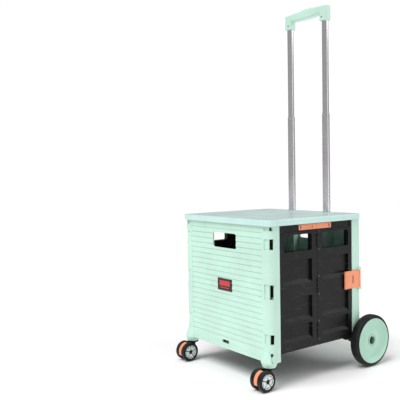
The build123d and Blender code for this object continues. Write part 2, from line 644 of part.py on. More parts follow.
with BuildPart() as tyre:
    with BuildSketch(Plane.XY.offset(axle_z)) as profile:
        with Locations(((wheel_in_x + wheel_out_x) / 2, y_axle + (rim_radius - 1.5 + wheel_radius) / 2)):
            Rectangle(wheel_thick, wheel_radius - rim_radius + 1.5)
        fillet(profile.vertices().group_by(Axis.Y)[-1], 6)
    revolve(axis=Axis((0, y_axle, axle_z), (1, 0, 0)))

for name, piece in (("hub", hub.part), ("tyre", tyre.part)):
    piece.label = f"wheel_{name}_right"
    export_step(piece, f"parts/wheel_{name}_right.step")
    left_piece = mirror(piece, about=Plane.YZ)
    left_piece.label = f"wheel_{name}_left"
    export_step(left_piece, f"parts/wheel_{name}_left.step")

# ---- Caster cups ----------------------------------------------------------------------------------------------------------------------
with BuildPart() as cup:
    back_y = y_front_edge - 4
    nose_y = y_front - 9
    with BuildSketch(Plane.XY.offset(cup_low_z)):
        with Locations((stem_x, stem_y)):
            Circle(cup_radius)
    with BuildSketch(Plane.XY.offset(front_base_z)):
        with Locations((stem_x, (nose_y + back_y) / 2)):
            RectangleRounded(2 * stem_side, back_y - nose_y, 10)
    loft()
    with BuildSketch(Plane.XY.offset(front_base_z)):
        with Locations((stem_x, (nose_y + back_y) / 2)):
            RectangleRounded(2 * stem_side, back_y - nose_y, 10)
    with BuildSketch(Plane.XY.offset(front_base_z + cup_flare)):
        with Locations((stem_x, (y_front - 0.6 + back_y) / 2)):
            RectangleRounded(2 * stem_side - 4, back_y - y_front + 0.6, 10)
    loft()
    block((half_w - 3 * stem_side, half_w + 5), (y_front, back_y + 5), (front_base_z, front_base_z + cup_flare + 1),
          mode=Mode.SUBTRACT)
    upright(stem_x, stem_y, (cup_low_z - 1, front_base_z - 1.5), stem_radius + pin_play, mode=Mode.SUBTRACT)
for name, piece in (("caster_cup_right", cup.part), ("caster_cup_left", mirror(cup.part, about=Plane.YZ))):
    piece.label = name
    export_step(piece, f"parts/{name}.step")

# ---- Casters ---------------------------------------------------------------------------------------------------------------------------
for name, side in (("left", -1), ("right", 1)):
    x = side * stem_x
    with BuildPart() as fork:
        upright(x, stem_y, (cup_low_z - 5, front_base_z - 2), stem_radius)
        upright(x, stem_y, (cup_low_z - 4.4, cup_low_z - 0.4), cup_radius - 1)
        with BuildSketch(Plane.XY.offset(cup_low_z - 4.4)):
            with Locations((x, stem_y)):
                Circle(cup_radius - 5.5)
        with BuildSketch(Plane.XY.offset(cup_low_z - 10)):
            with Locations((x, stem_y)):
                Circle(caster_split / 2 - 0.3)
        loft()
        # web between the wheels, from the neck to the wheel pin
        with BuildSketch(Plane.YZ.offset(x - 2.5)) as web:
            with BuildLine():
                Polyline((stem_y - 8, cup_low_z - 6), (stem_y + 8, cup_low_z - 6), (stem_y + 2, caster_radius + 2),
                         (caster_y + 4, caster_radius - 7), (caster_y - 6, caster_radius - 3),
                         (caster_y - 5, caster_radius + 7), (stem_y - 8, cup_low_z - 6))
            make_face()
        extrude(amount=5)
        crosswise((x - 2.5, x + 2.5), caster_y, caster_radius, 8)
        crosswise((x - 10, x + 10), caster_y, caster_radius, caster_pin_r + pin_fit, mode=Mode.SUBTRACT)
    fork.part.label = f"caster_fork_{name}"
    export_step(fork.part, f"parts/caster_fork_{name}.step")

    with BuildPart() as pin:
        half = caster_split / 2 + caster_wheel_thick - 3
        crosswise((x - half, x + half), caster_y, caster_radius, caster_pin_r)
    pin.part.label = f"caster_pin_{name}"
    export_step(pin.part, f"parts/caster_pin_{name}.step")

    with BuildPart() as brake:
        # hood over the front of the wheels, carried by two cheeks on the wheel pin
        with BuildSketch(Plane.YZ.offset(x - 5.6)) as hood:
            with Locations((caster_y, caster_radius)):
                Circle(caster_radius - 1.5)
                Circle(caster_radius - 5.5, mode=Mode.SUBTRACT)
                with Locations((caster_radius - 3, 0)):
                    Rectangle(2 * caster_radius, 3 * caster_radius, mode=Mode.SUBTRACT)
                with Locations((0, -caster_radius)):
                    Rectangle(3 * caster_radius, 1.3 * caster_radius, mode=Mode.SUBTRACT)
        extrude(amount=11.2)
        for cheek in (x - 5.6, x + 3.2):
            with BuildSketch(Plane.YZ.offset(cheek)) as arm:
                with Locations((caster_y, caster_radius)):
                    Circle(6)
                with BuildLine():
                    Polyline((caster_y, caster_radius - 5), (caster_y - caster_radius + 4, caster_radius + 1),
                             (caster_y - caster_radius * 0.66, caster_radius + caster_radius * 0.56),
                             (caster_y + 4, caster_radius + 4), (caster_y, caster_radius - 5))
                make_face()
            extrude(amount=2.4)
        crosswise((x - 10, x + 10), caster_y, caster_radius, caster_pin_r + pin_play, mode=Mode.SUBTRACT)
    brake.part.label = f"brake_lever_{name}"
    export_step(brake.part, f"parts/brake_lever_{name}.step")

    for place, out in (("inner", -side), ("outer", side)):
        near = x + out * caster_split / 2
        far = near + out * caster_wheel_thick
        low, high = sorted((near, far))
        with BuildPart() as caster_tyre:
            crosswise((low, high), caster_y, caster_radius, caster_radius)
            fillet(caster_tyre.edges(), 2.5)
            crosswise((low - 1, high + 1), caster_y, caster_radius, caster_hub_r, mode=Mode.SUBTRACT)
        caster_tyre.part.label = f"caster_tyre_{name}_{place}"
        export_step(caster_tyre.part, f"parts/caster_tyre_{name}_{place}.step")
        with BuildPart() as caster_hub:
            crosswise((low + 0.6, high - 0.6), caster_y, caster_radius, caster_hub_r - pin_fit)
            crosswise((low - 1, high + 1), caster_y, caster_radius, caster_pin_r + pin_play, mode=Mode.SUBTRACT)
            # five hollows round the hub's outer face
            face_x = far - out * 0.6
            with BuildSketch(Plane.YZ.offset(min(face_x, face_x - out * 3))):
                with Locations((caster_y, caster_radius)):
                    with PolarLocations(12.0, 5, start_angle=90):
                        Ellipse(4.2, 3.2)
            extrude(amount=3, mode=Mode.SUBTRACT)
        caster_hub.part.label = f"caster_hub_{name}_{place}"
        export_step(caster_hub.part, f"parts/caster_hub_{name}_{place}.step")

# ---- Corner latches -------------------------------------------------------------------------------------------------------------------------
latch_z = (latch_low_z, latch_low_z + latch_high)
with BuildPart() as latch:
    arm_x = (half_w + latch_gap, half_w + latch_gap + latch_thick)
    upright(latch_pin_x, latch_pin_y, latch_z, latch_barrel_r)
    block(arm_x, (latch_pin_y - latch_long, latch_pin_y), latch_z)
    # outward curl for the fingers
    with BuildSketch(Plane.XY.offset(latch_z[0])):
        with Locations((arm_x[0] + 3.6, latch_pin_y - latch_long)):
            Circle(3.6)
            Circle(1.2, mode=Mode.SUBTRACT)
        with Locations((arm_x[0] + 3.6, latch_pin_y - latch_long + 1.9)):
            Rectangle(7.2, 3.8, mode=Mode.SUBTRACT)
    extrude(amount=latch_high)
    side_hole((half_w, half_w + 9), (latch_pin_y - 30, latch_pin_y - 25),
              (latch_low_z + 13, latch_low_z + latch_high - 13), 2)
    upright(latch_pin_x, latch_pin_y, (latch_z[0] - 1, latch_z[1] + 1), latch_pin_r + pin_play,
            mode=Mode.SUBTRACT)
for name, piece in (("corner_latch_right", latch.part), ("corner_latch_left", mirror(latch.part, about=Plane.YZ))):
    piece.label = name
    export_step(piece, f"parts/{name}.step")

with BuildPart() as latch_pins:
    for side in (-1, 1):
        upright(side * latch_pin_x, latch_pin_y, (latch_z[0] - 6.4, latch_z[1] + 6.4), latch_pin_r)
latch_pins.part.label = "latch_pins"
export_step(latch_pins.part, "parts/latch_pins.step")

# ---- Handle ------------------------------------------------------------------------------------------------------------------------------------
for name, side in (("left", -1), ("right", 1)):
    with BuildPart() as lower_tube:
        upright(side * tube_x, tube_y, (lower_low_z, lower_top_z), lower_r)
        upright(side * tube_x, tube_y, (lower_low_z - 1, lower_top_z + 1), lower_in_r, mode=Mode.SUBTRACT)
    lower_tube.part.label = f"lower_tube_{name}"
    export_step(lower_tube.part, f"parts/lower_tube_{name}.step")
    with BuildPart() as upper_tube:
        upright(side * tube_x, tube_y, (upper_low_z, grip_low_z + 16), upper_r)
        upright(side * tube_x, tube_y, (upper_low_z - 1, grip_low_z + 17), upper_r - tube_wall,
                mode=Mode.SUBTRACT)
    upper_tube.part.label = f"upper_tube_{name}"
    export_step(upper_tube.part, f"parts/upper_tube_{name}.step")

with BuildPart() as stage_collars:
    for side in (-1, 1):
        upright(side * tube_x, tube_y, (lower_top_z, lower_top_z + stage_collar), lower_r)
        upright(side * tube_x, tube_y, (lower_top_z - 1, lower_top_z + stage_collar + 1), lower_in_r,
                mode=Mode.SUBTRACT)
stage_collars.part.label = "stage_collars"
export_step(stage_collars.part, "parts/stage_collars.step")

leg_out = tube_x + grip_leg / 2
leg_in = tube_x - grip_leg / 2
shoulder_z = grip_top_z - grip_bow
under_z = shoulder_z - grip_bar
with BuildPart() as grip:
    with BuildSketch(Plane.XZ.offset(-tube_y - grip_deep / 2)) as front_view:
        with BuildLine():
            Polyline((-leg_in, under_z), (-leg_in, grip_low_z), (-leg_out, grip_low_z), (-leg_out, shoulder_z))
            ThreePointArc((-leg_out, shoulder_z), (0, grip_top_z), (leg_out, shoulder_z))
            Polyline((leg_out, shoulder_z), (leg_out, grip_low_z), (leg_in, grip_low_z), (leg_in, under_z))
            ThreePointArc((leg_in, under_z), (0, under_z - grip_bow), (-leg_in, under_z))
        make_face()
        corners = front_view.vertices().filter_by(lambda v: v.Z > under_z - 0.1)
        fillet(corners.filter_by(lambda v: abs(v.X) > tube_x), 15)
        fillet(corners.filter_by(lambda v: abs(v.X) < tube_x), 5)
    extrude(amount=grip_deep)
    long_edges = grip.edges().filter_by(lambda e: abs(abs(e.center().Y - tube_y) - grip_deep / 2) < 0.01
                                        and e.center().Z > grip_low_z + 0.1)
    fillet(long_edges, 5.5)
    for side in (-1, 1):
        upright(side * tube_x, tube_y, (grip_low_z - 1, grip_low_z + 16), upper_r + pin_fit, mode=Mode.SUBTRACT)
        with Locations(Location((side * (tube_x - 3), tube_y - grip_deep / 2, grip_low_z + 10), (90, 0, 0))):
            Cylinder(2.3, 2.6, mode=Mode.SUBTRACT)
    # well for the button
    block((-button_long / 2 - 0.3, button_long / 2 + 0.3),
          (tube_y - button_wide / 2 - 0.3, tube_y + button_wide / 2 + 0.3),
          (grip_top_z - 6 - button_travel, grip_top_z + 1), mode=Mode.SUBTRACT)
grip.part.label = "grip"
export_step(grip.part, "parts/grip.step")

with BuildPart() as grip_screws:
    for side in (-1, 1):
        with Locations(Location((side * (tube_x - 3), tube_y - grip_deep / 2 + 0.8, grip_low_z + 10), (90, 0, 0))):
            Cylinder(2.25, 1.0)
grip_screws.part.label = "grip_screws"
export_step(grip_screws.part, "parts/grip_screws.step")

with BuildPart() as button:
    block((-button_long / 2, button_long / 2), (tube_y - button_wide / 2, tube_y + button_wide / 2),
          (grip_top_z - 5.7, grip_top_z + 2.6))
    fillet(button.edges().filter_by(Axis.Z), 4)
    fillet(button.edges().group_by(Axis.Z)[-1], 1.6)
button.part.label = "grip_button"
export_step(button.part, "parts/grip_button.step")
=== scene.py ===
"""Looks for a folding two-tray shopping cart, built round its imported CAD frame."""

import math

import bpy
from mathutils import Matrix, Vector


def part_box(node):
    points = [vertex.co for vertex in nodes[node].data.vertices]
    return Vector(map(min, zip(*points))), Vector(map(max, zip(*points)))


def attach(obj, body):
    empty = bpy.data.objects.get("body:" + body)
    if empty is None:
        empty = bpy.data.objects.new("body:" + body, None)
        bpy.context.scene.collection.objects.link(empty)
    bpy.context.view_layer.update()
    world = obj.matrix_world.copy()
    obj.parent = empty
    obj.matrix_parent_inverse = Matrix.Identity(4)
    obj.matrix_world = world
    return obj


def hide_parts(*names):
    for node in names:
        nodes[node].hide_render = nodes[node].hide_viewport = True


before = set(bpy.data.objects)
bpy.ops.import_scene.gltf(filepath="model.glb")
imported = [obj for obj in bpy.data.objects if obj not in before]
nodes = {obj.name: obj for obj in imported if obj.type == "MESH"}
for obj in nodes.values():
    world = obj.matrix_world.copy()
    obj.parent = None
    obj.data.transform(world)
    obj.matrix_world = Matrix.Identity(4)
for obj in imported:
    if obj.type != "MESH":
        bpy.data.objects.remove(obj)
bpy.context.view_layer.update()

# ---- Studio --------------------------------------------------------------------------------------
# A pale seamless floor in a white room with one broad overhead light and two light boxes for the
# tubes and the lid to mirror, as goods are shown in a catalogue. The camera looks at a corner.
floor_width = 14
floor_drop = 0.0004         # keeps the tyres just clear of the floor
white_seen = 1.05           # strength of the white room where the camera sees it
white_cast = 0.42           # and where it lights the cart
light_aim = Vector((0.1, 0, 0.35))

bpy.ops.object.select_all(action="DESELECT")
bpy.ops.mesh.primitive_plane_add(size=floor_width, location=(0, 0, -floor_drop))
floor = bpy.context.object
floor.name = "studio_floor"

floor_paint = bpy.data.materials.new("studio_floor_paint")
floor_paint.use_nodes = True
floor_shader = floor_paint.node_tree.nodes["Principled BSDF"]
floor_shader.inputs["Base Color"].default_value = (0.99, 0.99, 0.99, 1)
floor_shader.inputs["Roughness"].default_value = 0.7
floor_shader.inputs["Specular IOR Level"].default_value = 0.1
floor.data.materials.append(floor_paint)

world = bpy.data.worlds.new("studio_air")
bpy.context.scene.world = world
world.use_nodes = True
air = world.node_tree.nodes["Background"]
air.inputs["Color"].default_value = (1, 1, 1, 1)
seen = world.node_tree.nodes.new("ShaderNodeLightPath").outputs["Is Camera Ray"]
glow = world.node_tree.nodes.new("ShaderNodeMapRange")
glow.inputs["To Min"].default_value = white_cast
glow.inputs["To Max"].default_value = white_seen
world.node_tree.links.new(seen, glow.inputs["Value"])
world.node_tree.links.new(glow.outputs[0], air.inputs["Strength"])

bpy.ops.object.light_add(type="SUN", location=(1, -2, 3))
key_light = bpy.context.object
key_light.name = "overhead_light"
key_light.data.energy = 2.35
key_light.data.angle = math.radians(38)
key_light.rotation_mode = "QUATERNION"
key_light.rotation_quaternion = Vector((-0.02, 0.62, -1.0)).to_track_quat("-Z", "Y")

for name, place, wide, tall, power in (("tall_light_box", (2.6, 0.9, 0.9), 0.55, 2.2, 6),
                                       ("back_light_box", (1.35, 1.5, 1.85), 1.1, 1.1, 12)):
    bpy.ops.object.light_add(type="AREA", location=place)
    light_box = bpy.context.object
    light_box.name = name
    light_box.data.shape = "RECTANGLE"
    light_box.data.size = wide
    light_box.data.size_y = tall
    light_box.data.energy = power
    light_box.rotation_mode = "QUATERNION"
    light_box.rotation_quaternion = (light_aim - Vector(place)).to_track_quat("-Z", "Y")

bpy.context.scene.view_settings.view_transform = "Standard"

bpy.ops.object.camera_add(location=(1.2687, -1.1886, 0.5334))
camera = bpy.context.object
camera.name = "camera"
camera.data.lens = 55.12
camera.data.sensor_width = 36
azimuth, elevation, roll = math.radians(53.94), math.radians(2.497), math.radians(-1.018)
back = Vector((math.sin(azimuth) * math.cos(elevation), -math.cos(azimuth) * math.cos(elevation),
               math.sin(elevation)))
camera.rotation_mode = "QUATERNION"
level = (-back).to_track_quat("-Z", "Y")
camera.rotation_quaternion = Matrix.Rotation(roll, 3, back).to_quaternion() @ level
bpy.context.scene.camera = camera


# ---- Front tray ----------------------------------------------------------------------------------
# One large injection moulding in pale mint polypropylene with lapped ribs across its face, plain
# rounded corner columns and pockets where the hinge pins go in. Its edges are broken in the mould.
def only(piece):
    """Selects one object and makes it active."""
    bpy.ops.object.select_all(action="DESELECT")
    piece.select_set(True)
    bpy.context.view_layer.objects.active = piece


def shaded(piece, angle=40):
    """Smooth shading across soft edges, with flat faces kept flat."""
    only(piece)
    bpy.ops.object.shade_smooth_by_angle(angle=math.radians(angle))
    weights = piece.modifiers.new("weights", "WEIGHTED_NORMAL")
    weights.keep_sharp = True
    bpy.ops.object.modifier_apply(modifier=weights.name)


weld_gap = 0.000002         # corners nearer than this are one
flat_angle = 0.4            # triangles that lie within this many degrees are one face


def broken_edges(piece, edge, corner=None):
    """Rounds a piece's edges; a corner in degrees leaves the flatter ones alone."""
    bevel = piece.modifiers.new("edges", "BEVEL")
    bevel.width = edge
    bevel.segments = 2
    if corner:
        bevel.limit_method = "ANGLE"
        bevel.angle_limit = math.radians(corner)
    return bevel


def finished(node, name, edge, corner=32, joined=True):
    """A copy of a CAD node with its edges broken, and its triangles joined into faces if asked."""
    piece = bpy.data.objects.new(name, nodes[node].data.copy())
    bpy.context.scene.collection.objects.link(piece)
    only(piece)
    bpy.ops.mesh.customdata_custom_splitnormals_clear()
    bpy.ops.object.mode_set(mode="EDIT")
    bpy.ops.mesh.select_all(action="SELECT")
    bpy.ops.mesh.remove_doubles(threshold=weld_gap)
    bpy.ops.mesh.mark_sharp(clear=True)
    if joined:
        bpy.ops.mesh.dissolve_limited(angle_limit=math.radians(flat_angle))
    bpy.ops.object.mode_set(mode="OBJECT")
    bevel = broken_edges(piece, edge, corner)
    bevel.miter_outer = "MITER_ARC"
    bpy.ops.object.modifier_apply(modifier=bevel.name)
    shaded(piece)
    return piece


def node_in(tree, kind, *inputs, **named):
    """Adds a shader node; inputs are values or sockets, by place or by name."""
    node = tree.nodes.new(kind)
    for key, value in [*enumerate(inputs), *named.items()]:
        if value is None:
            continue
        socket = node.inputs[key.replace("_", " ") if isinstance(key, str) else key]
        if isinstance(value, bpy.types.NodeSocket):
            tree.links.new(value, socket)
        else:
            socket.default_value = value
    return node


def blended(tree, share, first, second):
    """A colour mix; returns its colour. A mix node keeps its colours at sockets 6, 7 and 2."""
    mix = tree.nodes.new("ShaderNodeMix")
    mix.data_type = "RGBA"
    for socket, value in ((0, share), (6, first), (7, second)):
        if isinstance(value, bpy.types.NodeSocket):
            tree.links.new(value, mix.inputs[socket])
        else:
            mix.inputs[socket].default_value = value
    return mix.outputs[2]


def maths(tree, kind, first, second):
    """The value of a maths node."""
    node = node_in(tree, "ShaderNodeMath", first, second)
    node.operation = kind
    return node.outputs[0]


def new_group(name, inputs, outputs):
    """An empty shader group with named sockets; returns it with its inputs and its output node."""
    group = bpy.data.node_groups.new(name, "ShaderNodeTree")
    for label, kind in inputs:
        group.interface.new_socket(label, in_out="INPUT", socket_type=kind)
    for label, kind in outputs:
        group.interface.new_socket(label, in_out="OUTPUT", socket_type=kind)
    given = group.nodes.new("NodeGroupInput").outputs
    return group, given, group.nodes.new("NodeGroupOutput").inputs


SURFACE = [("Color", "NodeSocketColor"), ("Roughness", "NodeSocketFloat"),
           ("Height", "NodeSocketFloat")]

# spark-eroded mould grain, slow shade changes from the moulding, and light handling marks
mould_grain, given, out = new_group(
    "mould_grain", [("Tint", "NodeSocketColor"), ("Grain", "NodeSocketFloat"),
                    ("Gloss", "NodeSocketFloat"), ("Marks", "NodeSocketFloat")], SURFACE)
place = mould_grain.nodes.new("ShaderNodeTexCoord").outputs["Object"]
grain = node_in(mould_grain, "ShaderNodeTexNoise", Vector=place, Scale=given["Grain"],
                Detail=2.0).outputs[0]
cloud = node_in(mould_grain, "ShaderNodeTexNoise", Vector=place, Scale=11.0, Detail=4.0).outputs[0]
drawn = node_in(mould_grain, "ShaderNodeMapping", place, None, (0.5, 0.2, 0.4),
                (26, 26, 520)).outputs[0]
lines = node_in(mould_grain, "ShaderNodeTexNoise", Vector=drawn, Scale=1.0, Detail=3.0).outputs[0]
marks = node_in(mould_grain, "ShaderNodeMapRange", lines, 0.62, 0.74, 0.0, 1.0).outputs[0]
marks = maths(mould_grain, "MULTIPLY", marks, given["Marks"])
shade = node_in(mould_grain, "ShaderNodeMapRange", cloud, 0.3, 0.7, 0.93, 1.04).outputs[0]
tinted = node_in(mould_grain, "ShaderNodeVectorMath", given["Tint"], shade)
tinted.operation = "SCALE"
mould_grain.links.new(shade, tinted.inputs["Scale"])
scuffed = maths(mould_grain, "MULTIPLY", marks, 0.10)
mould_grain.links.new(blended(mould_grain, scuffed, tinted.outputs[0], (0.9, 0.9, 0.9, 1)),
                      out["Color"])
rough = maths(mould_grain, "ADD", given["Gloss"],
               node_in(mould_grain, "ShaderNodeMapRange", cloud, 0.3, 0.7, -0.05, 0.06).outputs[0])
rough = maths(mould_grain, "ADD", rough, maths(mould_grain, "MULTIPLY", marks, 0.12))
mould_grain.links.new(rough, out["Roughness"])
mould_grain.links.new(maths(mould_grain, "ADD", grain, maths(mould_grain, "MULTIPLY", marks, -0.4)),
                      out["Height"])


def material_of(name, group, bump, depth, shader_values=(), **values):
    """A material whose colour, roughness and relief come from a surface group."""
    material = bpy.data.materials.new(name)
    material.use_nodes = True
    tree = material.node_tree
    shader = tree.nodes["Principled BSDF"]
    surface = tree.nodes.new("ShaderNodeGroup")
    surface.node_tree = group
    for key, value in values.items():
        surface.inputs[key].default_value = value
    tree.links.new(surface.outputs["Color"], shader.inputs["Base Color"])
    tree.links.new(surface.outputs["Roughness"], shader.inputs["Roughness"])
    relief = node_in(tree, "ShaderNodeBump", Strength=bump, Distance=depth,
                     Height=surface.outputs["Height"])
    tree.links.new(relief.outputs[0], shader.inputs["Normal"])
    for key, value in shader_values:
        shader.inputs[key].default_value = value
    return material


def dress(piece, material, body, stands_for=None):
    """Gives a piece its material and body, and hides the CAD node it stands for, if any."""
    piece.data.materials.clear()
    piece.data.materials.append(material)
    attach(piece, body)
    if stands_for:
        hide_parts(stands_for)


def skinned(node, name, edge, material, body, slot, **how):
    """Puts a CAD node's finished and dressed copy in its place."""
    dress(finished(node, name, edge, **how), material, body, node)


mint = material_of("mint_polypropylene", mould_grain, 0.10, 0.0002, [("Specular IOR Level", 0.42)],
                   Tint=(0.555, 0.80, 0.685, 1), Grain=1500.0, Gloss=0.42, Marks=0.35)
skinned("front_panel", "front_tray_moulding", 0.0005, mint, "front_tray", "body_green", joined=False)

# ---- Badge ---------------------------------------------------------------------------------------
# A small satin black plate pressed into the ribbed face, without lettering: only a raised red
# bar with a thin line under it, moulded in a second colour.
badge_black = material_of("badge_black", mould_grain, 0.08, 0.0001, [("Specular IOR Level", 0.35)],
                          Tint=(0.014, 0.013, 0.014, 1), Grain=2400.0, Gloss=0.34, Marks=0.3)
skinned("badge_plate", "badge", 0.0004, badge_black, "front_tray", "badge")


def bar(name, low, high, edge=0.0003):
    """A box between two corners with its edges broken."""
    bpy.ops.object.select_all(action="DESELECT")
    bpy.ops.mesh.primitive_cube_add(size=1, location=[(a + b) / 2 for a, b in zip(low, high)])
    piece = bpy.context.object
    piece.name = name
    piece.scale = [b - a for a, b in zip(low, high)]
    bpy.ops.object.transform_apply(location=True, rotation=True, scale=True)
    bpy.ops.object.modifier_apply(modifier=broken_edges(piece, edge).name)
    shaded(piece)
    return piece


bar_proud = 0.0004
bar_sunk = 0.0006
red = material_of("badge_red", mould_grain, 0.05, 0.0001, Tint=(0.62, 0.03, 0.03, 1), Grain=2400.0,
                  Gloss=0.35, Marks=0.2)
plate_low, plate_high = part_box("badge_plate")
plate_mid = (plate_low.z + plate_high.z) / 2
for name, half, low_z, high_z in (("badge_bar", 0.0215, plate_mid - 0.0035, plate_mid + 0.0105),
                                  ("badge_line", 0.0185, plate_mid - 0.0095, plate_mid - 0.0070)):
    raised = bar(name, (-half, plate_low.y - bar_proud, low_z), (half, plate_low.y + bar_sunk, high_z))
    dress(raised, red, "front_tray")

# ---- Caster cups ---------------------------------------------------------------------------------
# Cups moulded in the tray's own mint plastic, blended into its lower corners, with a screw each.
for side in ("left", "right"):
    skinned(f"caster_cup_{side}", f"cup_{side}", 0.0006, mint, "front_tray", "body_green")

# ---- Rear tray and handle guides -----------------------------------------------------------------
# The same mint moulding as the front, deeper, with the handle's guide tubes standing in it.
skinned("rear_panel", "rear_tray_moulding", 0.0003, mint, "rear_frame", "body_green", joined=False)
for side in ("left", "right"):
    skinned(f"handle_guide_{side}", f"guide_{side}", 0.0003, mint, "rear_frame", "body_green")

# ---- Side leaves ---------------------------------------------------------------------------------
# Four ribbed boards in black polypropylene with a coarser leather-like grain, hollow-backed, two to
# a side and hinged to each other and to both trays.
black = material_of("black_polypropylene", mould_grain, 0.22, 0.0003, [("Specular IOR Level", 0.22)],
                    Tint=(0.006, 0.006, 0.007, 1), Grain=1100.0, Gloss=0.40, Marks=0.5)
for end in ("front", "rear"):
    for side in ("left", "right"):
        node = f"{end}_leaf_{side}"
        skinned(node, f"{node}_board", 0.0006, black, f"leaf_{end}_{side}", "dark_plastic", joined=False)

# ---- Lid -----------------------------------------------------------------------------------------
# A flat cover in the mint plastic with a short skirt round it, which drops over the rims of both
# trays. Its top comes from a polished mould, so that it mirrors the handle softly.
polished = material_of("polished_mint", mould_grain, 0.03, 0.0001,
                       [("Specular IOR Level", 0.5), ("Coat Weight", 0.25), ("Coat Roughness", 0.12)],
                       Tint=(0.58, 0.80, 0.76, 1), Grain=900.0, Gloss=0.22, Marks=0.1)
skinned("lid", "lid_cover", 0.0006, polished, "lid", "lid_green", joined=False)

# ---- Slide locks and corner latches --------------------------------------------------------------
# Coral-orange plastic: a bolt in its case on each front leaf, a keeper on the rear leaf, and a
# swinging latch over each rear corner. Black bars at the ends of the case and keeper are painted shade,
# standing for the dark gaps there.
gap_shade_long = 0.0030
gap_shade_margin = 0.0024       # above and below the painted-shade bar
case_inset = 0.0050         # from the case's front end to its painted-shade bar
keeper_inset = 0.0090       # from the keeper's rear end to the front of its painted-shade bar
gap_shade_sunk = 0.0003
gap_shade_root = 0.0010
coral = material_of("coral_plastic", mould_grain, 0.08, 0.0002, Tint=(0.90, 0.32, 0.165, 1),
                    Grain=1700.0, Gloss=0.36, Marks=0.3)
for side in ("left", "right"):
    for node, body in ((f"lock_case_{side}", f"leaf_front_{side}"),
                       (f"lock_bolt_{side}", f"slide_lock_{side}"),
                       (f"lock_keeper_{side}", f"leaf_rear_{side}"),
                       (f"corner_latch_{side}", f"latch_{side}")):
        skinned(node, f"{node}_moulding", 0.0004, coral, body, "orange")
    sign = 1 if side == "right" else -1
    case_low, case_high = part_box(f"lock_case_{side}")
    keeper_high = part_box(f"lock_keeper_{side}")[1]
    face = case_high.x if sign > 0 else case_low.x
    depth = sorted((face - sign * gap_shade_root, face - sign * gap_shade_sunk))
    # painted shade: a thin black bar sunk under the face stands for the dark gap at each end of the case
    # and the keeper
    for name, body, start in (("case", f"leaf_front_{side}", case_low.y + case_inset),
                              ("keeper", f"leaf_rear_{side}", keeper_high.y - keeper_inset)):
        gap_shade_bar = bar(f"lock_{name}_inlay_{side}", (depth[0], start, case_low.z + gap_shade_margin),
                    (depth[1], start + gap_shade_long, case_high.z - gap_shade_margin), 0.0001)
        dress(gap_shade_bar, black, body)


# ---- Handle tubes --------------------------------------------------------------------------------
# Drawn aluminium tube with a satin anodised skin, in two sliding stages: fine lines run along it
# from the die. A ring collars each lower tube, and a dark plastic one each guide at the tray's rim.
drawn_skin, given, out = new_group(
    "drawn_skin", [("Tint", "NodeSocketColor"), ("Gloss", "NodeSocketFloat")], SURFACE)
place = drawn_skin.nodes.new("ShaderNodeTexCoord").outputs["Object"]
along = node_in(drawn_skin, "ShaderNodeMapping", place, None, (0, 0, 0),
                (700, 700, 5)).outputs[0]
lines = node_in(drawn_skin, "ShaderNodeTexNoise", Vector=along, Scale=1.0, Detail=3.0).outputs[0]
cloud = node_in(drawn_skin, "ShaderNodeTexNoise", Vector=place, Scale=18.0, Detail=3.0).outputs[0]
drawn_skin.links.new(blended(drawn_skin, maths(drawn_skin, "MULTIPLY", lines, 0.10), given["Tint"],
                             (0.45, 0.46, 0.48, 1)), out["Color"])
rough = maths(drawn_skin, "ADD", given["Gloss"],
               node_in(drawn_skin, "ShaderNodeMapRange", cloud, 0.3, 0.7, -0.03, 0.05).outputs[0])
drawn_skin.links.new(rough, out["Roughness"])
drawn_skin.links.new(lines, out["Height"])

aluminium = material_of("satin_aluminium", drawn_skin, 0.012, 0.0001, [("Metallic", 1.0)],
                        Tint=(0.70, 0.68, 0.71, 1), Gloss=0.20)
for side in ("left", "right"):
    for stage in ("lower", "upper"):
        skinned(f"{stage}_tube_{side}", f"{stage}_stage_{side}", 0.0003, aluminium, f"handle_{stage}",
                "tube")
smoke = material_of("dark_collar", mould_grain, 0.08, 0.0001, Tint=(0.10, 0.105, 0.11, 1),
                    Grain=2000.0, Gloss=0.38, Marks=0.3)
skinned("stage_collars", "stage_collar_rings", 0.0003, aluminium, "handle_lower", "dark_plastic")
skinned("guide_collars", "guide_collar_rings", 0.0005, smoke, "rear_frame", "dark_plastic")

# ---- Grip ----------------------------------------------------------------------------------------
# A mint polypropylene moulding over the tube ends, held by a screw in each leg, with a sprung
# grey-mint button on top. Only its sharper corners are broken, because its shell is rounded.
sharp = 50
pale = material_of("button_plastic", mould_grain, 0.05, 0.0001, Tint=(0.66, 0.80, 0.77, 1),
                   Grain=1900.0, Gloss=0.40, Marks=0.3)
skinned("grip", "grip_shell", 0.0005, mint, "handle_upper", "body_green", corner=sharp)
skinned("grip_button", "push_button", 0.0003, pale, "button", "button", corner=sharp)

# ---- Big wheels ----------------------------------------------------------------------------------
# A dished mint polypropylene hub with a rolled rim carries a smooth solid tyre of black rubber,
# pressed over it. A black nylon washer lies in the dish under the axle's nut.
def turned(name, section, centre, steps=96):
    """Spins a closed section of (x, radius) points about the X axis through a centre."""
    bpy.ops.object.select_all(action="DESELECT")
    start = (section[0][0], centre[1], centre[2] + section[0][1])
    bpy.ops.mesh.primitive_plane_add(size=0.001, location=start)
    piece = bpy.context.object
    piece.name = name
    bpy.ops.object.mode_set(mode="EDIT")
    bpy.ops.mesh.select_all(action="SELECT")
    bpy.ops.mesh.merge(type="CENTER")
    for (x0, r0), (x1, r1) in zip(section, section[1:]):
        bpy.ops.mesh.extrude_region_move(TRANSFORM_OT_translate={"value": (x1 - x0, 0, r1 - r0)})
    bpy.ops.mesh.select_all(action="SELECT")
    bpy.ops.mesh.spin(steps=steps, angle=2 * math.pi, center=centre, axis=(1, 0, 0))
    bpy.ops.mesh.select_all(action="SELECT")
    bpy.ops.mesh.remove_doubles(threshold=0.00001)
    bpy.ops.mesh.normals_make_consistent(inside=False)
    bpy.ops.object.mode_set(mode="OBJECT")
    bpy.ops.object.transform_apply(location=True, rotation=True, scale=True)
    shaded(piece, 34)
    return piece


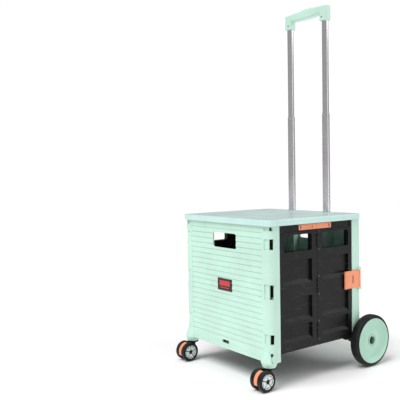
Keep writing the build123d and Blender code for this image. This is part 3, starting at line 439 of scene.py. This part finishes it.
def arc(x, r, size, start, end, count=6):
    """Points of a section's rounded corner, by its centre, size and angles in degrees."""
    turns = [math.radians(start + (end - start) * i / count) for i in range(count + 1)]
    return [(x + size * math.cos(t), r + size * math.sin(t)) for t in turns]


def inwards(section, face, sign):
    """A section measured inwards from a wheel's outer face, which looks along sign on the X axis."""
    return [(face - sign * x, r) for x, r in section]


def tyre_section(wide, radius, seat, shoulder, inset, slack):
    """A smooth tyre: two flat sides on the hub's seat, with rounded shoulders."""
    return [(inset, seat), *arc(shoulder, radius - shoulder, shoulder - slack, 180, 90),
            *arc(wide - shoulder, radius - shoulder, shoulder - slack, 90, 0),
            (wide - inset, seat), (inset, seat)]


rubber_skin, given, out = new_group(
    "rubber_skin", [("Tint", "NodeSocketColor"), ("Gloss", "NodeSocketFloat")], SURFACE)
place = rubber_skin.nodes.new("ShaderNodeTexCoord").outputs["Object"]
pores = node_in(rubber_skin, "ShaderNodeTexNoise", Vector=place, Scale=1800.0, Detail=2.0).outputs[0]
bloom = node_in(rubber_skin, "ShaderNodeTexNoise", Vector=place, Scale=34.0, Detail=5.0).outputs[0]
haze = node_in(rubber_skin, "ShaderNodeMapRange", bloom, 0.42, 0.78, 0.0, 0.30).outputs[0]
rubber_skin.links.new(blended(rubber_skin, haze, given["Tint"], (0.05, 0.05, 0.053, 1)), out["Color"])
dulled = maths(rubber_skin, "MULTIPLY", haze, 0.4)
rubber_skin.links.new(maths(rubber_skin, "ADD", given["Gloss"], dulled), out["Roughness"])
rubber_skin.links.new(pores, out["Height"])
rubber = material_of("tyre_rubber", rubber_skin, 0.12, 0.0002, [("Specular IOR Level", 0.22)],
                     Tint=(0.008, 0.008, 0.009, 1), Gloss=0.46)

hub_mint = material_of("hub_polypropylene", mould_grain, 0.10, 0.0002, [("Specular IOR Level", 0.42)],
                       Tint=(0.49, 0.745, 0.615, 1), Grain=1500.0, Gloss=0.40, Marks=0.4)
nylon = material_of("black_nylon", mould_grain, 0.10, 0.0002, [("Specular IOR Level", 0.3)],
                    Tint=(0.010, 0.010, 0.011, 1), Grain=1600.0, Gloss=0.38, Marks=0.4)

for side, sign in (("left", -1), ("right", 1)):
    body = f"wheel_{side}"
    low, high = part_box(f"wheel_tyre_{side}")
    centre = (low + high) / 2
    face = high.x if sign > 0 else low.x
    radius = (high.z - low.z) / 2
    hub_low, hub_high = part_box(f"wheel_hub_{side}")
    seat = (hub_high.z - hub_low.z) / 2
    section = tyre_section(0.028, radius, seat, shoulder=0.0085, inset=0.0012, slack=0.0004)
    tyre = turned(f"big_tyre_{side}", inwards(section, face, sign), centre)
    dress(tyre, rubber, body, f"wheel_tyre_{side}")

    # from the rolled lip down the dish, over the ring round the hub, and back up behind the web
    hub_section = [(0.0016, seat), *arc(0.0017, seat - 0.0018, 0.0014, 110, 250, 5),
                   (0.0050, seat - 0.0040), (0.0092, seat - 0.0058), (0.0122, seat - 0.0100),
                   (0.0132, seat - 0.0160),
                   (0.0124, seat - 0.0240), (0.0084, 0.0250), (0.0074, 0.0190), (0.0074, 0.0172),
                   (0.0088, 0.0166), (0.0088, 0.0148), (0.0056, 0.0142),
                   *arc(0.0055, 0.0128, 0.0009, 60, -80, 4),
                   (0.0070, 0.0110), (0.0122, 0.0106), (0.0122, 0.0042),
                   (0.0260, 0.0042), (0.0262, 0.0150), (0.0190, 0.0175), (0.0185, 0.0520), (0.0255, 0.0560),
                   (0.0260, seat), (0.0016, seat)]
    hub = turned(f"big_hub_{side}", inwards(hub_section, face, sign), centre)
    dress(hub, hub_mint, body, f"wheel_hub_{side}")
    washer_section = [(0.0108, 0.0044), (0.0108, 0.0098), (0.0121, 0.0098), (0.0121, 0.0044),
                      (0.0108, 0.0044)]
    washer = turned(f"hub_washer_{side}", inwards(washer_section, face, sign), centre, 48)
    dress(washer, nylon, body)

# ---- Axle, brackets, spacers and pins ------------------------------------------------------------
# A blackened steel rod through two black plastic brackets, held by blackened hexagon nuts, with
# bright turned spacers. The hinge, latch and caster pins and the floor's rod are bright drawn steel.
steel = material_of("bright_steel", drawn_skin, 0.04, 0.0001, [("Metallic", 1.0)],
                    Tint=(0.62, 0.62, 0.63, 1), Gloss=0.30)
for node in ("axle_spacers", "rear_hinge_pins", "latch_pins"):
    skinned(node, f"{node}_turned", 0.0003, steel, "rear_frame", "steel")
black_oxide = material_of("black_oxide_steel", drawn_skin, 0.04, 0.0001, [("Metallic", 0.7)],
                          Tint=(0.035, 0.037, 0.037, 1), Gloss=0.36)
for node in ("rear_axle", "axle_nuts"):
    skinned(node, f"{node}_blackened", 0.0003, black_oxide, "rear_frame", "steel")
for node, body in (("seam_pins_left", "leaf_rear_left"), ("seam_pins_right", "leaf_rear_right"),
                   ("front_hinge_pins", "front_tray"), ("floor_hinge_rod", "front_tray"),
                   ("caster_pin_left", "caster_left"), ("caster_pin_right", "caster_right")):
    skinned(node, f"{node}_turned", 0.0002, steel, body, "steel")
for side in ("left", "right"):
    skinned(f"axle_bracket_{side}", f"bracket_{side}", 0.0008, black, "rear_frame", "dark_plastic")

# ---- Floor ---------------------------------------------------------------------------------------
# A board in the leaves' black polypropylene, moulded in one piece. It turns on a rod along the
# foot of the front tray, and is lifted against that tray before the cart is folded.
skinned("floor_panel", "floor_board", 0.0004, black, "floor", "dark_plastic", joined=False)

# ---- Casters -------------------------------------------------------------------------------------
# Black nylon forks on steel pins, twin wheels with soft black tyres, and a coral brake lever whose
# hood sits between them. Each hub has five pale petals pressed into a black spider.
white = material_of("cap_white", mould_grain, 0.04, 0.0001, [("Coat Weight", 0.3), ("Coat Roughness", 0.1)],
                    Tint=(0.78, 0.84, 0.84, 1), Grain=900.0, Gloss=0.26, Marks=0.3)
hub_low, hub_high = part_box("caster_hub_right_outer")
hub_radius = (hub_high.z - hub_low.z) / 2
cap_radius = hub_radius - 0.0006
petal_count = 5
petal_deep = 0.0018
petal_sunk = 0.0008         # from the tyre's face to the petal's
half_spoke = 0.0012         # half of the black gap between two petals
petal_start = 0.0058        # from the hub's middle to the petal's inner end
petal_round = 0.0036        # at its outer corners
petal_border = 0.0017
border_step = 0.0007
petal_hollow = 0.0010
bpy.ops.object.select_all(action="DESELECT")
bpy.ops.mesh.primitive_cylinder_add(vertices=80, radius=cap_radius, depth=petal_deep, location=(0, 0, 0))
petal = bpy.context.object
petal.name = "petal"
bpy.ops.object.mode_set(mode="EDIT")
for half in (-1, 1):
    way = math.radians(half * (180 / petal_count + 90))
    normal = (math.cos(way), math.sin(way), 0)
    bpy.ops.mesh.select_all(action="SELECT")
    bpy.ops.mesh.bisect(plane_co=[-half_spoke * v for v in normal], plane_no=normal, use_fill=True,
                        clear_outer=True)
bpy.ops.mesh.select_all(action="SELECT")
bpy.ops.mesh.bisect(plane_co=(petal_start, 0, 0), plane_no=(1, 0, 0), use_fill=True, clear_inner=True)
bpy.ops.mesh.select_all(action="DESELECT")
bpy.ops.object.mode_set(mode="OBJECT")
# round the petal's two outer corners, so that the gaps between petals fork at the rim
spread = max(abs(v.co.y) for v in petal.data.vertices)
for edge in petal.data.edges:
    first, second = (petal.data.vertices[i].co for i in edge.vertices)
    edge.select = (first - second).xy.length < 0.00001 and abs(first.y) > spread - 0.00002
bpy.ops.object.mode_set(mode="EDIT")
bpy.ops.mesh.select_mode(type="EDGE")
bpy.ops.mesh.bevel(offset=petal_round, segments=5, affect="EDGES")
bpy.ops.mesh.select_all(action="DESELECT")
bpy.ops.mesh.select_mode(type="FACE")
bpy.ops.object.mode_set(mode="OBJECT")
for face in petal.data.polygons:
    face.select = face.normal.z > 0.9
bpy.ops.object.mode_set(mode="EDIT")
bpy.ops.mesh.inset(thickness=petal_border, depth=0)
bpy.ops.mesh.inset(thickness=border_step, depth=-petal_hollow)
bpy.ops.mesh.select_all(action="SELECT")
bpy.ops.mesh.normals_make_consistent(inside=False)
bpy.ops.mesh.select_mode(type="VERT")
bpy.ops.object.mode_set(mode="OBJECT")
bpy.ops.object.modifier_apply(modifier=broken_edges(petal, 0.0003, sharp).name)
petals = [petal]
for i in range(1, petal_count):
    copy = petal.copy()
    copy.data = petal.data.copy()
    copy.data.transform(Matrix.Rotation(math.radians(360 / petal_count * i), 4, "Z"))
    bpy.context.scene.collection.objects.link(copy)
    petals.append(copy)
only(petal)
for copy in petals:
    copy.select_set(True)
bpy.ops.object.join()
shaded(petal)

for side in ("left", "right"):
    skinned(f"caster_fork_{side}", f"fork_{side}", 0.0007, nylon, f"caster_{side}", "caster_plastic")
    skinned(f"brake_lever_{side}", f"brake_{side}_moulding", 0.0006, coral, f"brake_{side}", "orange")
    pin_low, pin_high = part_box(f"caster_pin_{side}")
    mid = (pin_low.x + pin_high.x) / 2
    for where in ("inner", "outer"):
        body = f"caster_wheel_{side}_{where}"
        low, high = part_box(f"caster_tyre_{side}_{where}")
        centre = (low + high) / 2
        sign = 1 if centre.x > mid else -1
        face = high.x if sign > 0 else low.x
        radius = (high.z - low.z) / 2
        wide = high.x - low.x
        section = tyre_section(wide, radius, hub_radius, shoulder=0.0030, inset=0.0004, slack=0.0002)
        tyre = turned(f"small_tyre_{side}_{where}", inwards(section, face, sign), centre, 64)
        dress(tyre, rubber, body, f"caster_tyre_{side}_{where}")
        # from the domed middle over the bed of the petals to the rim, and back behind the web
        spider_section = [(0.0022, 0.0), (0.0022, 0.0022), (0.0012, 0.0028), (0.0009, 0.0050),
                          (0.0026, 0.0056), (0.0026, hub_radius - 0.0008), (0.0012, hub_radius - 0.0004),
                          (0.0010, hub_radius), (wide - 0.0008, hub_radius),
                          (wide - 0.0010, hub_radius - 0.0018), (wide - 0.0030, hub_radius - 0.0025),
                          (wide - 0.0030, 0.0060), (wide - 0.0008, 0.0055), (wide - 0.0008, 0.0)]
        spider = turned(f"spider_{side}_{where}", inwards(spider_section, face, sign), centre, 64)
        dress(spider, nylon, body, f"caster_hub_{side}_{where}")
        caps = bpy.data.objects.new(f"petals_{side}_{where}", petal.data.copy())
        bpy.context.scene.collection.objects.link(caps)
        stand = Matrix.Rotation(math.radians(90 * sign), 4, "Y")
        seat_x = face - sign * (petal_sunk + petal_deep / 2)
        caps.data.transform(Matrix.Translation((seat_x, centre.y, centre.z)) @ stand)
        dress(caps, white, body)
bpy.data.objects.remove(petal)

# ---- Screws --------------------------------------------------------------------------------------
# Blackened cross-head screws: two by each seam hinge, one in each caster cup, and one in the foot
# of each grip leg.
screw_black = material_of("blackened_screw", drawn_skin, 0.05, 0.0001, [("Metallic", 0.8)],
                          Tint=(0.10, 0.10, 0.105, 1), Gloss=0.34)
skinned("grip_screws", "grip_screw_heads", 0.0002, screw_black, "handle_upper", "screw")


def cross_screw(name, place, radius, facing):
    """A low round head with a cross recess, on a face that looks along the given axis."""
    bpy.ops.object.select_all(action="DESELECT")
    bpy.ops.mesh.primitive_cylinder_add(vertices=32, radius=radius, depth=0.0012)
    head = bpy.context.object
    head.name = name
    for long, short in ((1.1, 0.26), (0.26, 1.1)):
        bpy.ops.mesh.primitive_cube_add(size=1, location=(0, 0, 0.0005))
        slot = bpy.context.object
        slot.scale = (long * radius, short * radius, 0.0007)
        only(head)
        cross = head.modifiers.new("cross", "BOOLEAN")
        cross.object = slot
        cross.solver = "EXACT"
        bpy.ops.object.modifier_apply(modifier=cross.name)
        bpy.data.objects.remove(slot)
    turn = Vector(facing).to_track_quat("Z", "Y").to_matrix().to_4x4()
    head.data.transform(Matrix.Translation(place) @ turn)
    shaded(head, 30)
    return head


seam_screw_x = 0.1790 - 0.0002      # sunk a little into the leaf's outer face
seam_to_screw = 0.0052
hinge_heights = (0.3575, 0.24075, 0.1240)
screw_step = 0.0235                 # above and below a hinge's middle
seam_screw_r = 0.0022
cup_screw_x = 0.1520
cup_screw_y = -0.1893
cup_screw_drop = 0.0080             # below the cup's top
cup_screw_r = 0.0021
for side, sign in (("left", -1), ("right", 1)):
    seam_y = (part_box(f"lock_case_{side}")[1].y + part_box(f"lock_keeper_{side}")[0].y) / 2
    for middle in hinge_heights:
        for height in (middle - screw_step, middle + screw_step):
            screw = cross_screw(f"seam_screw_{side}_{round(height * 1000)}",
                                (sign * seam_screw_x, seam_y + seam_to_screw, height), seam_screw_r,
                                (sign, 0, 0))
            dress(screw, screw_black, f"leaf_rear_{side}")
    cup_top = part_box(f"caster_cup_{side}")[1].z
    screw = cross_screw(f"cup_screw_{side}", (sign * cup_screw_x, cup_screw_y, cup_top - cup_screw_drop),
                        cup_screw_r, (0, -1, 0))
    dress(screw, screw_black, "front_tray")
